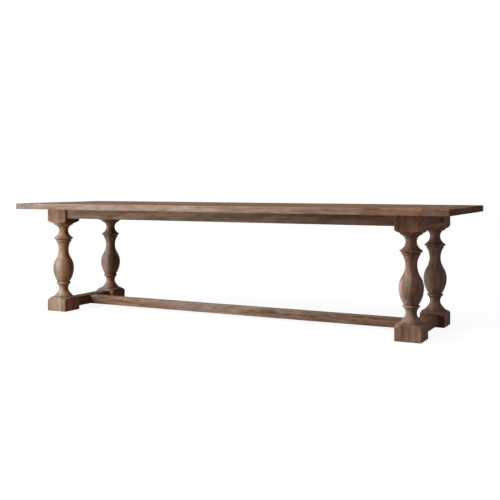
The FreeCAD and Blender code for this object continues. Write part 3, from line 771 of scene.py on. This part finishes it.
# one square end of a leg, as rows of radius, height and wear from the foot up: from a base height, up
# or down the way given, its sides run to an arched rim, where the turned shoulder cuts them
def squareEnd(name, half, base, way, noiseAt):
    height, fall, crown, ease = (legLook[name + key] * mm for key in ("Height", "Fall", "Crown", "Ease"))
    collar, arris, rimEase = legLook["collarShare"] * half, legLook["arris"] * mm, legLook["rimEase"] * mm
    corner = np.array([math.hypot(half, half), height - fall])
    shoulder = risenArc(corner, np.array([collar, height]), crown)

    def wearNoise(levels):
        return noiseAt(base + way * levels)

    def shoulderAt(radius):
        return np.interp(radius, shoulder[::-1, 0], shoulder[::-1, 1])

    def side(levels):
        return squareReach(half, arris * (1 + legLook["arrisWear"] * wearNoise(levels)))

    # a curve from start to end, drawn towards the corner between them
    def turnOver(start, corner, end):
        return (1 - t) ** 2 * start + 2 * t * (1 - t) * corner + t ** 2 * end

    plain = squareReach(half, arris)[None]
    rim = shoulderAt(plain)
    arc = np.linspace(0, np.pi / 2, legGrid["edgeRows"])[:, None]
    edgeLevels = np.broadcast_to(ease * (1 - np.cos(arc)), (len(arc), len(turns)))
    sideLevels = ease + (rim - rimEase - ease) * np.linspace(0, 1, legGrid["sideRows"])[1:, None]
    edgeSide, plainSide = side(edgeLevels), side(sideLevels)
    rimSide, past = plainSide[-1:], plain - legLook["rimRun"] * rimEase
    t = np.linspace(0, 1, legGrid["rimRows"])[1:, None]
    inner = collar + legLook["shoulderLap"] * mm
    shoulderRadius = past + (inner - past) * np.linspace(0, 1, legGrid["shoulderRows"])[1:, None]
    capRadius = edgeSide[:1] * np.array(legGrid["capShares"])[:, None]
    eased = edgeSide - ease * (1 - np.sin(arc))
    rimRadius = turnOver(rimSide, rimSide, past)
    rimLevels = turnOver(rim - rimEase, rim, shoulderAt(past))
    radius = np.concatenate([capRadius, eased, plainSide, rimRadius, shoulderRadius])
    level = np.concatenate([0 * capRadius, edgeLevels, sideLevels, rimLevels, shoulderAt(shoulderRadius)])

    # rubbed here and there along the corners and along the rim
    def patchy(mean, swing, levels):
        return np.clip(mean + swing * wearNoise(levels), 0, 1)

    cornerWear = shareOf(half * np.tan(fromFace), half - wearLook["cornerBand"] * mm, half)
    cornerWear = cornerWear * (level < rim + wearLook["cornerTop"] * mm)
    rimWear = shareOf(-np.abs(level - rim), -wearLook["rimBand"] * mm, 0)
    cornerWear *= patchy(*wearLook["cornerRub"], level)
    wear = np.maximum(cornerWear, rimWear * patchy(*wearLook["rimRub"], rim))
    wear[:len(capRadius)] = 0
    return [rows[::way] for rows in (radius, base + way * level, wear)]


stainAndLightLook = {
    "borderLevels": (130.0, 220.0, 360.0, 450.0),  # ankle, foot and head of the belly, neck, mm
    "borderBlend": (-0.33, 0.33), "borderWander": 0.22, "wanderCell": (0.05, 0.05, 0.15),  # m
    "plinthTop": 106.0, "blockFoot": 608.0, "fade": 14.0,  # mm
    "bleach": 0.4,  # of the square ends
    # painted sheen on belly and ankle: level and reach of pale bands on the sap side, toward the lamps
    "paintedSheens": ((300.0, 95.0), (150.0, 45.0)),  # on belly and ankle: level and reach, mm
    "nearAxis": 0.05,  # share of half the blank within which the angle loses its say
    "pastArris": 0.02,  # share of half the blank from the arris to the change of stain
    "arrisBlend": (0.1, 0.5),  # its width at the front, and how much more at the back
    "arrisWander": 0.2,
}
# each blank has heartwood on one side, which takes the stain otherwise than the sapwood; that side is
# turned away from the lamps, so the sap and heart tints are partly stain and partly painted light: the sap
# side paler as lit wood, the heart side darker and warmer as wood in shade; plinth and block have a tint
# for the front and one for the sides past the arris, both painted light set to how lit each face looks
legStainsAndLight = {
    "leg_back_left": {
        "heartShadeward": (0.80, 0.60), "border": (-0.32, -0.32, -0.32), "seed": 135, "sapLitSide": (1.12, 1.22, 1.42),
        "heartShadeSide": (0.82, 0.67, 0.63), "paintedSheens": [(1.00, 1.05, 1.10)],
        "plinth": [(1.14, 1.20, 1.36), (0.80, 0.56, 0.55)],
        "block": [(1.00, 0.95, 0.95), (0.84, 0.69, 0.66)],
    },
    "leg_back_right": {
        "heartShadeward": (0.97, 0.24), "border": (-0.30, -0.50, -0.50), "seed": 105, "sapLitSide": (1.52, 1.66, 2.00),
        "heartShadeSide": (1.10, 1.02, 1.20), "paintedSheens": [(1.25, 1.35, 1.50)],
        "plinth": [(0.96, 0.80, 0.95), (1.08, 0.86, 1.02)],
        "block": [(1.37, 1.30, 1.55), (0.83, 0.58, 0.56)],
    },
    "leg_front_left": {
        "heartShadeward": (0.77, 0.64), "border": (0.10, -0.30, -0.28), "seed": 110, "sapLitSide": (1.05, 1.20, 1.40),
        "heartShadeSide": (1.38, 1.14, 1.00), "paintedSheens": [(1.00, 1.05, 1.10), (1.22, 1.45, 1.62)],
        "plinth": [(1.10, 1.25, 1.42), (1.25, 0.95, 1.00)],
        "block": [(1.60, 1.66, 1.72), (0.66, 0.44, 0.32)],
    },
    "leg_front_right": {
        "heartShadeward": (0.96, 0.27), "border": (0.25, -0.17, -0.45), "seed": 80, "sapLitSide": (1.35, 1.40, 1.55),
        "heartShadeSide": (0.98, 0.84, 0.96), "paintedSheens": [(1.60, 1.90, 2.20), (1.06, 1.20, 1.30)],
        "plinth": [(1.30, 1.30, 1.50), (1.04, 0.82, 0.90)],
        "block": [(1.12, 0.92, 0.96), (1.19, 0.85, 0.82)],
    },
}


# how far a level lies in the plinth and in the block
def endShares(level):
    top, foot, fade = (stainAndLightLook[key] * mm for key in ("plinthTop", "blockFoot", "fade"))
    return shareOf(-level, -top, fade - top), shareOf(level, foot, foot + fade)


# in the turned part sap and heart meet softly at an angle about the axis, given for ankle, belly and
# neck, which wanders a little; the sap side, toward the lamps, gets painted sheen, paler by bell curves of
# the height; the square ends change from front to side at the arris between them, with painted light on
# front and sides
def legTint(local, half, look, seed):
    plan, heartShadeward, level = local[:, :2] / half, np.array(look["heartShadeward"]), local[:, 2:]
    wander = softNoise(local, stainAndLightLook["wanderCell"], seed + 4)
    angle = plan @ heartShadeward / np.maximum(np.linalg.norm(plan, axis=1), stainAndLightLook["nearAxis"])
    ankle, belly, neck = look["border"]
    border = np.interp(local[:, 2], np.array(stainAndLightLook["borderLevels"]) * mm, (ankle, belly, belly, neck))
    share = shareOf(angle - border + stainAndLightLook["borderWander"] * wander, *stainAndLightLook["borderBlend"])
    share = smooth(share)[:, None]
    # partly stain, partly painted light: the sap side toward the lamps, the heart side in shade
    sapLitSide, heartShadeSide = np.array(look["sapLitSide"]), np.array(look["heartShadeSide"])
    tint = sapLitSide + (heartShadeSide - sapLitSide) * share
    # painted sheen: paler bands where the lamps glint on the lit side
    for (middle, reach), paler in zip(stainAndLightLook["paintedSheens"], look["paintedSheens"]):
        rub = (1 - share) * np.exp(-((level - middle * mm) / (reach * mm)) ** 2)
        tint *= 1 + (np.array(paler) - 1) * rub
    back = np.clip((plan[:, 1] + 1) / 2, 0, 1)
    past = plan @ heartShadeward - (heartShadeward[0] - heartShadeward[1]) - stainAndLightLook["pastArris"]
    past += stainAndLightLook["arrisWander"] * back * wander
    near, more = stainAndLightLook["arrisBlend"]
    side = np.clip(0.5 + past / (near + more * back), 0, 1)[:, None]
    # painted light on the square ends: a tint for the front, another for the sides
    for name, within in zip(("plinth", "block"), endShares(level)):
        front, flank = np.array(look[name])
        tint += (front + (flank - front) * side - tint) * within
    return tint


# the map unrolls a leg: u round it, v along its line; the end faces run to the edge of the map
def legMap(along):
    rows, columns = along.shape
    way, margin = np.cumsum(along.mean(1)), legGrid["mapMargin"]
    v = margin + (1 - 2 * margin) * (way - way[0]) / (way[-1] - way[0])
    u = np.arange(columns + 1) / columns
    flat = np.stack(np.meshgrid(u, v), -1).reshape(-1, 2)

    def cap(tip, rim, first, last):
        corners = [((u[1:] + u[:-1]) / 2, tip), (first, rim), (last, rim)]
        return np.stack([np.stack([x, np.full(columns, y)], 1) for x, y in corners], 1).reshape(-1, 2)

    sides = flat[gridCells(rows, columns + 1)[:, ::-1]].reshape(-1, 2)
    return np.concatenate([sides, cap(0, v[0], u[1:], u[:-1]), cap(1, v[-1], u[:-1], u[1:])])


# a leg: rows of radius and height from the foot up, square ends and lathe's line, carried round the axis
def turnedLeg(node, look):
    seed = look["seed"]
    draw = np.random.default_rng(seed)
    low, high = nodeSpan(node)
    centre, half = (low + high) / 2, (high[0] - low[0]) / 2
    bottom, top = low[2], high[2]
    ways = np.stack([np.cos(turns), np.sin(turns)])

    def noiseAt(levels):
        around = np.stack(np.broadcast_arrays(*(ways * half), levels), -1) + centre
        broad, fine, share = wearLook["patches"]
        return softNoise(around, broad, seed) + share * softNoise(around, fine, seed + 1)

    plinth = squareEnd("plinth", half, bottom, 1, noiseAt)
    block = squareEnd("block", half, top, -1, noiseAt)
    turningBottom, turningTop = bottom + legLook["plinthHeight"] * mm, top - legLook["blockHeight"] * mm
    foot, head = [rows[-1, 0] for rows in plinth[:2]], [rows[0, 0] for rows in block[:2]]
    path = lathePath(half, turningBottom, turningTop, foot, head)
    turned = [np.tile(row[1:-1, None], len(turns)) for row in latheRows(path)]
    radius, height, wear = (np.concatenate(rows) for rows in zip(plinth, turned, block))
    spot = np.stack([*(radius * ways[:, None]), height], -1)
    broad, fine, share = wearLook["dents"]
    dents = softNoise(spot + seed, broad, seed + 2) + share * softNoise(spot, fine, seed + 3)
    radius = radius + legLook["dents"] * mm * dents * shareOf(radius / half, *wearLook["dentFrom"])
    spot[..., :2] = np.moveaxis(radius * ways[:, None], 0, -1)
    rise, endward = np.gradient(height, axis=0), np.abs(np.gradient(radius, axis=0))
    along = np.hypot(rise, endward)
    endGrain = shareOf(endward / along.clip(1e-9), *wearLook["endGrainFrom"])
    endGrain = np.concatenate([endGrain.ravel(), [1, 1]])

    rows, columns = radius.shape
    local = np.concatenate([spot.reshape(-1, 3), [[0, 0, bottom], [0, 0, top]]])
    number = np.arange(rows)[:, None] * columns + np.arange(columns + 1) % columns
    quads = number.ravel()[gridCells(rows, columns + 1)[:, ::-1]]
    under = np.stack([np.full(columns, rows * columns), number[0, 1:], number[0, :-1]], 1)
    upper = np.stack([np.full(columns, rows * columns + 1), number[-1, :-1], number[-1, 1:]], 1)
    faces = quads.tolist() + under.tolist() + upper.tolist()
    pith = draw.uniform(*legLog["pith"], 2) * draw.choice([-1, 1], 2)
    lean = draw.uniform(*legLog["lean"], 2)
    up = local[:, 2:]
    fields = {
        "grain": np.concatenate([up + legLog["spacing"] * seed, local[:, :2] - pith + lean * up], 1),
        "knotAway": np.full_like(local, farAway),
        "wear": np.concatenate([wear.ravel(), [0, 0]]),
        "endGrain": endGrain,
        "bleach": np.maximum(sawnBleach * endGrain, stainAndLightLook["bleach"] * sum(endShares(local[:, 2]))),
        "tint": legTint(local, half, look, seed),
    }
    place = local + (centre[0], centre[1], 0)
    addPiece(node + "_turned", place, faces, legMap(along), fields, baseOak, [node])


for node, look in legStainsAndLight.items():
    turnedLeg(node, look)
print("legs turned:", len(legStainsAndLight))


# Hardware and inner wood keep their solids and get finishes in the object's own coordinates

innerLook = {
    "roughness": (0.75, 0.62), "shine": 0.2, "wax": 0.0, "waxRoughness": 0.03, "bump": 0.4, "depth": 0.3,
    "logPlace": (0.4, 0.11, 0.05), "paler": (1.45, 1.55, 1.60, 1), "plugTint": (0.9, 0.9, 0.9, 1),
    "figure": {"band": 0.5, "streak": 0.3, "blotch": 0.3, "bleachGain": 0.0, "endGain": 0.0},
}


# wood on a plain solid: the grain runs along X before the turn is undone
def solidOak(name, turn, tint):
    material, tree, shader = newMaterial(name)
    place = addNode(tree, "TexCoord").outputs["Object"]
    grain = addNode(tree, "Mapping", {"Vector": place, "Rotation": turn, "Location": innerLook["logPlace"]})
    dressOak(tree, shader, innerLook, grain.outputs[0], (farAway,) * 3, 0.0, 0.0, 0.0, tint)
    return material


quarterTurn = math.pi / 2
innerTint = innerLook["paler"]
finishes = {
    "alongX": solidOak("innerOakAlongX", (0, 0, 0), innerTint),
    "alongY": solidOak("innerOakAlongY", (0, 0, quarterTurn), innerTint),
    "upright": solidOak("innerOakUpright", (0, quarterTurn, 0), innerTint),
    "plug": solidOak("plugOak", (0, 0, quarterTurn), innerLook["plugTint"]),
}


hardwareLook = {
    "cloudDetail": (3, 0.6), "scratchDetail": (2, 0.6),
    "toneStops": (0.35, 0.65), "scratchEdge": (0.55, 0.75, 0.0, 0.5), "polish": (0.3, 0.7),
    "depth": 0.1,  # mm
}


# metal or nylon: tone and gloss drift with soft clouds, fine scratches lie across them
def hardware(name, look):
    material, tree, shader = newMaterial(name)
    place = addNode(tree, "TexCoord").outputs["Object"]
    cloud = noise(tree, place, (look["cloud"],) * 3, *hardwareLook["cloudDetail"])
    scratch = noise(tree, place, look["scratch"], *hardwareLook["scratchDetail"])
    colour = tones(tree, cloud, list(zip(hardwareLook["toneStops"], (look["low"], look["high"]))))
    scratched = remap(tree, scratch, *hardwareLook["scratchEdge"])
    plugIn(shader, {
        "Base Color": blend(tree, scratched, colour, (*look["mark"], 1)),
        "Roughness": remap(tree, cloud, *hardwareLook["polish"], *look["roughness"]),
        "Metallic": look["metallic"],
        "Normal": relief(tree, scratch, look["bump"], hardwareLook["depth"]),
    })
    return material


finishes["zinc_steel"] = hardware("zincSteel", {
    "low": (0.40, 0.40, 0.38), "high": (0.62, 0.61, 0.57), "mark": (0.72, 0.71, 0.68), "cloud": 160,
    "scratch": (300, 2200, 300), "roughness": (0.30, 0.48), "metallic": 1.0, "bump": 0.2})
finishes["black_steel"] = hardware("blackSteel", {
    "low": (0.014, 0.014, 0.015), "high": (0.032, 0.031, 0.030), "mark": (0.09, 0.085, 0.08), "cloud": 90,
    "scratch": (900, 900, 120), "roughness": (0.42, 0.62), "metallic": 0.0, "bump": 0.35})
finishes["glide"] = hardware("brownNylon", {
    "low": (0.045, 0.030, 0.022), "high": (0.075, 0.052, 0.038), "mark": (0.13, 0.10, 0.08), "cloud": 120,
    "scratch": (500, 500, 900), "roughness": (0.45, 0.65), "metallic": 0.0, "bump": 0.25})
woodRuns = {
    "plank_splines": "alongX", "top_buttons_left": "alongX", "top_buttons_right": "alongX",
    "breadboard_pegs_left": "upright", "breadboard_pegs_right": "upright", "stretcher_plugs": "plug",
}
for part in frame["record"]["subparts"]:
    slot, node = part["material_slot"], nodes[part["node"]]
    finish = finishes.get(slot) or finishes[woodRuns.get(part["node"], "alongY")]
    node.data.materials.clear()
    node.data.materials.append(finish)
print("hardware finished")


# Floor, backdrop and lamps

stageLook = {
    "floorSize": 60.0, "floorTone": (0.22, 0.22, 0.22, 1), "nearGlow": 0.92,
    "clearFrom": (1.9, 4.0),  # the floor fades to white between these distances from the middle, m
    "clearAxes": (0.75, 1, 0),  # how much each axis counts in them
    "ambient": (0.006, 0.006, 0.006, 1),
}
halfFloor = stageLook["floorSize"] / 2
floorCorners = [(x * halfFloor, y * halfFloor, 0) for x, y in ((-1, -1), (1, -1), (1, 1), (-1, 1))]
floorMesh = bpy.data.meshes.new("studioFloor")
floorMesh.from_pydata(floorCorners, [], [(0, 1, 2, 3)])
floor = bpy.data.objects.new("studioFloor", floorMesh)
scene.collection.objects.link(floor)


# what is seen, or seen by way of gloss or glass, as against what only lights
def seenRay(tree):
    path = addNode(tree, "LightPath").outputs
    direct = calc(tree, "MAXIMUM", path["Is Camera Ray"], path["Is Glossy Ray"])
    return calc(tree, "MAXIMUM", direct, path["Is Transmission Ray"])


material, tree, shader = newMaterial("paleFloor")
tree.nodes.remove(shader)
place = addNode(tree, "TexCoord").outputs["Object"]
away = vectorCalc(tree, "LENGTH", vectorCalc(tree, "MULTIPLY", place, stageLook["clearAxes"]))
glow = remap(tree, away, *stageLook["clearFrom"], stageLook["nearGlow"], 1.0)
matt = addNode(tree, "BsdfDiffuse", {"Color": stageLook["floorTone"]})
light = addNode(tree, "Emission", {"Strength": times(tree, glow, seenRay(tree))})
both = addNode(tree, "AddShader", {0: matt.outputs[0], 1: light.outputs[0]})
clear = addNode(tree, "BsdfTransparent")
under = addNode(tree, "NewGeometry").outputs["Backfacing"]
shown = addNode(tree, "MixShader", {0: under, 1: both.outputs[0], 2: clear.outputs[0]})
plugIn(tree.nodes["Material Output"], {"Surface": shown.outputs[0]})
floorMesh.materials.append(material)

world = bpy.data.worlds.new("studio")
world.use_nodes = True
scene.world = world
tree = world.node_tree
sky = blend(tree, seenRay(tree), stageLook["ambient"], (1, 1, 1, 1))
plugIn(tree.nodes["Background"], {"Color": sky})

white = (1, 1, 1)
# where a lamp stands, where it looks, its size in m, watts and tone
lamps = {
    "keySoftbox": ((-4.1, -2.5, 1.7), (-0.8, 0, 0.5), (1.6, 2.8), 113, (0.88, 1.00, 1.17)),
    "highSoftbox": ((-2.7, -2.9, 2.8), (-0.9, 0, 0.5), (1.4, 1.2), 100, (1.04, 1.00, 0.95)),
    "lowFront": ((-2.0, -3.0, 0.4), (-0.6, 0, 0.35), (1.4, 0.5), 22, (1.08, 1.00, 0.88)),
    "overhead": ((1.4, -0.9, 2.9), (1.4, -0.4, 0.7), (1.8, 1.4), 33, white),
    "overLeft": ((-1.0, 0, 3.0), (-0.8, 0, 0.7), (1.8, 1.4), 8, white),
    "rightNear": ((2.9, -1.6, 0.9), (1.3, 0, 0.45), (1.0, 1.0), 3, white),
    "rightEnd": ((3.2, 0.5, 0.8), (1.2, 0, 0.45), (1.0, 1.0), 2.2, white),
    "backFill": ((-1.2, 3.4, 1.3), (0, 0, 0.5), (2.8, 1.4), 26, white),
}
for name, (place, aim, size, watts, tone) in lamps.items():
    data = bpy.data.lights.new(name, "AREA")
    data.shape = "RECTANGLE"
    data.size, data.size_y = size
    data.energy = watts
    data.color = tone
    piece = bpy.data.objects.new(name, data)
    scene.collection.objects.link(piece)
    piece.location = place
    toward = Vector(aim) - Vector(place)
    piece.rotation_euler = toward.to_track_quat("-Z", "Y").to_euler()
print("studio lit")


# Camera: level, turned to the left, with the frame shifted down to the table

cameraLook = {
    "place": (2.5336, -4.8632, 0.8958),
    "turn": 26.7,
    "sensor": 36.0,  # mm
    "framePixels": 500, "focalPixels": 813.7,
    "axisPixel": (250.2, 184.35),  # where the level line of sight meets the picture
}
camera = bpy.data.cameras.new("photoCamera")
pixels = cameraLook["framePixels"]
camera.sensor_width = cameraLook["sensor"]
camera.lens = camera.sensor_width * cameraLook["focalPixels"] / pixels
camera.shift_x = 0.5 - cameraLook["axisPixel"][0] / pixels
camera.shift_y = cameraLook["axisPixel"][1] / pixels - 0.5
viewer = bpy.data.objects.new("photoCamera", camera)
scene.collection.objects.link(viewer)
viewer.location = cameraLook["place"]
viewer.rotation_euler = (math.radians(90), 0, math.radians(cameraLook["turn"]))
scene.camera = viewer
scene.view_settings.view_transform = "Standard"
